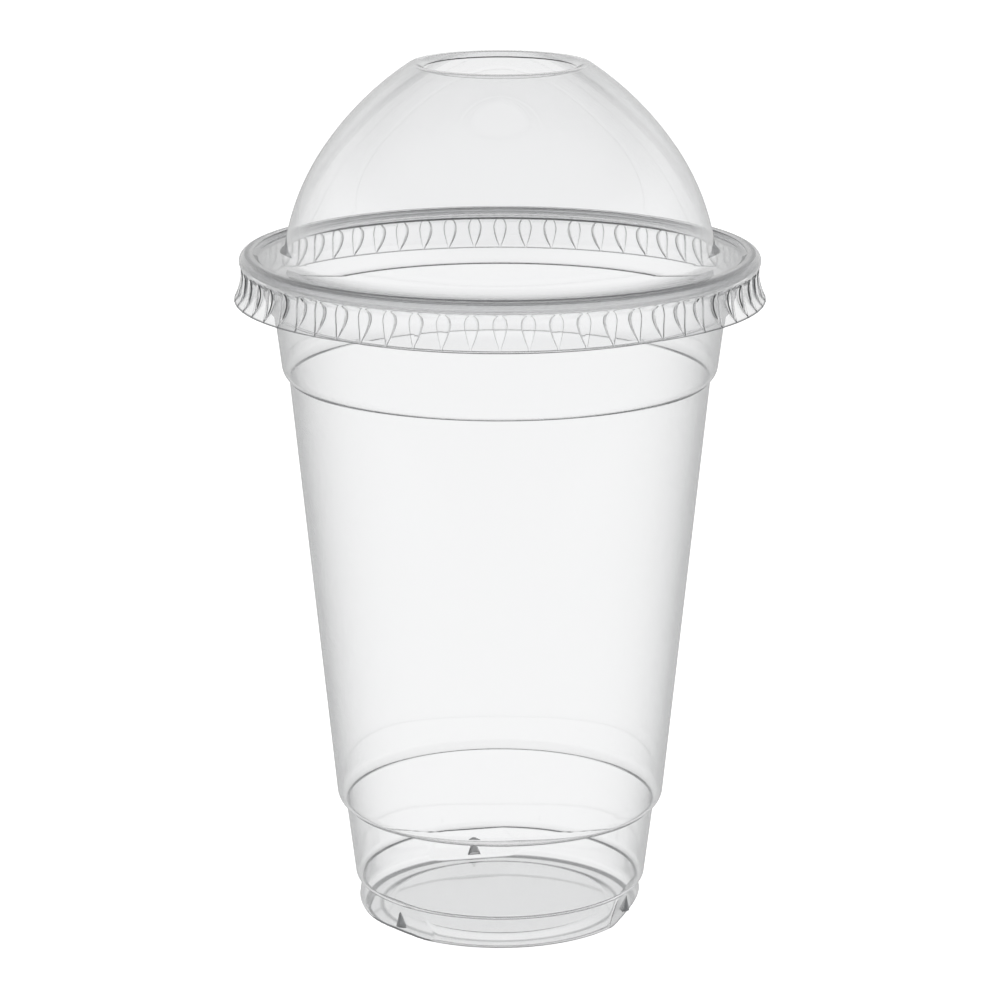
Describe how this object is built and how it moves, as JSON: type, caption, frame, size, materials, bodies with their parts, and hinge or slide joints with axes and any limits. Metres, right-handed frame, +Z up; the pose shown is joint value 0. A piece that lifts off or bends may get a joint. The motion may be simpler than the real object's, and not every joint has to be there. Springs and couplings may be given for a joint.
{
  "type": "lidded plastic cup",
  "caption": "Clear thermoformed drinks cup with a tapered wall, stacking shoulders and a rolled rim, closed by a ribbed push-fit dome lid with a round opening.",
  "frame": {"origin": "on the surface that the cup stands on, under its centre", "axes": "+Z up along the cup's axis; one of the lid's ribs faces -Y"},
  "size_m": [0.101, 0.101, 0.1666],
  "materials": {
    "cup_plastic": "clear, glossy",
    "lid_plastic": "clear, glossy"
  },
  "bodies": {
    "cup": {"cup": "cup_plastic"},
    "lid": {"dome_lid": "lid_plastic"}
  },
  "joints": [
    {"name": "lid_lift", "type": "slide", "parent": "cup", "child": "lid", "axis": [0, 0, 1], "range_m": [0, 0.06]}
  ]
}
